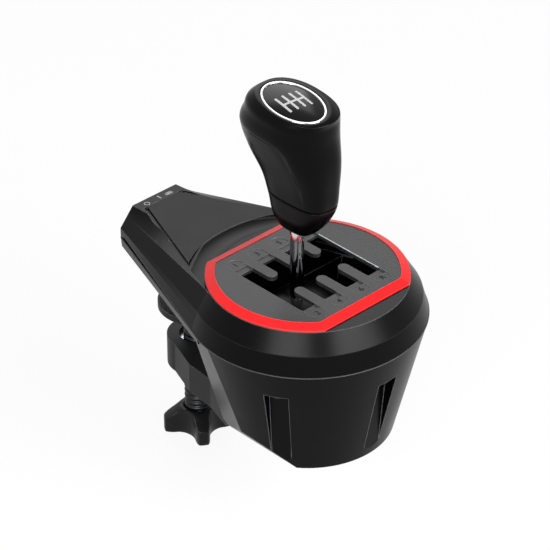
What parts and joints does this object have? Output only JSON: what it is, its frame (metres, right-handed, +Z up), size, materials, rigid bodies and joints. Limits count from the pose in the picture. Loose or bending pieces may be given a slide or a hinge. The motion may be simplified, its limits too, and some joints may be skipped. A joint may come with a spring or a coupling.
{
  "type": "sim racing gear shifter",
  "caption": "Gear shifter for racing games: tilting lever in a gated plate on a tapering cup, with an arm and screw clamp that grip a table's edge.",
  "frame": {"origin": "where the clamp screw's axis meets the face under the arm that rests on the table", "axes": "+X to the driver's right, +Y away from the driver along the arm, +Z up"},
  "size_m": [0.1558, 0.2239, 0.3078],
  "materials": {
    "black_casing": "fine moulded grain, black ABS",
    "grey_plate": "brushed steel plate with dark satin coat",
    "red_trim": "satin red plastic",
    "arm_trim": "dark grey plastic with fine grain",
    "knob_black": "satin black soft-touch plastic",
    "bright_plating": "polished plating",
    "badge_black": "gloss black plate",
    "jaw_grey": "glass-filled nylon, dark grey",
    "rubber_black": "matt rubber",
    "screw_black": "blackened steel",
    "zinc_steel": "zinc-plated steel",
    "cast_alloy": "die-cast alloy",
    "bearing_bronze": "sintered bronze",
    "board_green": "green solder mask",
    "magnet_nickel": "nickel-plated magnet",
    "socket_black": "moulded socket shell"
  },
  "bodies": {
    "housing": {"top_cover": "black_casing", "arm_panel": "arm_trim", "gate_plate": "grey_plate", "gate_ring": "red_trim", "gate_screws": "zinc_steel", "lower_housing": "black_casing", "case_screws": "screw_black", "rest_pad": "rubber_black", "main_board": "board_green", "round_socket": "socket_black", "flat_socket": "socket_black", "cradle": "cast_alloy", "cradle_screws": "zinc_steel", "cradle_bushes": "bearing_bronze", "centring_spring": "zinc_steel", "select_sensor": "board_green", "clamp_jaw": "jaw_grey", "jaw_screws": "zinc_steel", "clamp_nut": "screw_black"},
    "yoke": {"select_yoke": "cast_alloy", "yoke_pins": "zinc_steel", "select_magnet": "magnet_nickel", "shift_sensor": "board_green", "detent_plunger": "zinc_steel", "detent_spring": "zinc_steel", "detent_plug": "zinc_steel"},
    "lever": {"lever_hub": "cast_alloy", "shift_axle": "zinc_steel", "shift_magnet": "magnet_nickel", "lever_rod": "bright_plating", "dust_cap": "socket_black", "knob_body": "knob_black", "knob_collar": "knob_black", "knob_ring": "bright_plating", "knob_badge": "badge_black"},
    "pad": {"clamp_pad": "jaw_grey", "pad_facing": "rubber_black"},
    "screw": {"clamp_screw": "screw_black", "star_knob": "jaw_grey"}
  },
  "joints": [
    {"name": "select_tilt", "type": "hinge", "parent": "housing", "child": "yoke", "pos_m": [-0.00965, -0.1055, -0.045], "axis": [0, 1, 0], "range_deg": [-12.8, 24.8], "stiffness_Nm_per_rad": 3},
    {"name": "shift_tilt", "type": "hinge", "parent": "yoke", "child": "lever", "pos_m": [-0.00965, -0.1055, -0.045], "axis": [-1, 0, 0], "range_deg": [-12, 12]},
    {"name": "screw_lift", "type": "slide", "parent": "housing", "child": "pad", "axis": [0, 0, 1], "range_m": [-0.015, 0.03]},
    {"name": "screw_turn", "type": "hinge", "parent": "pad", "child": "screw", "pos_m": [0, 0, -0.06], "axis": [0, 0, 1], "range_deg": [-1360, 2710]}
  ],
  "couplings": [
    {"joint": "screw_turn", "follows": "screw_lift", "rad_per_m": 1570.8}
  ]
}
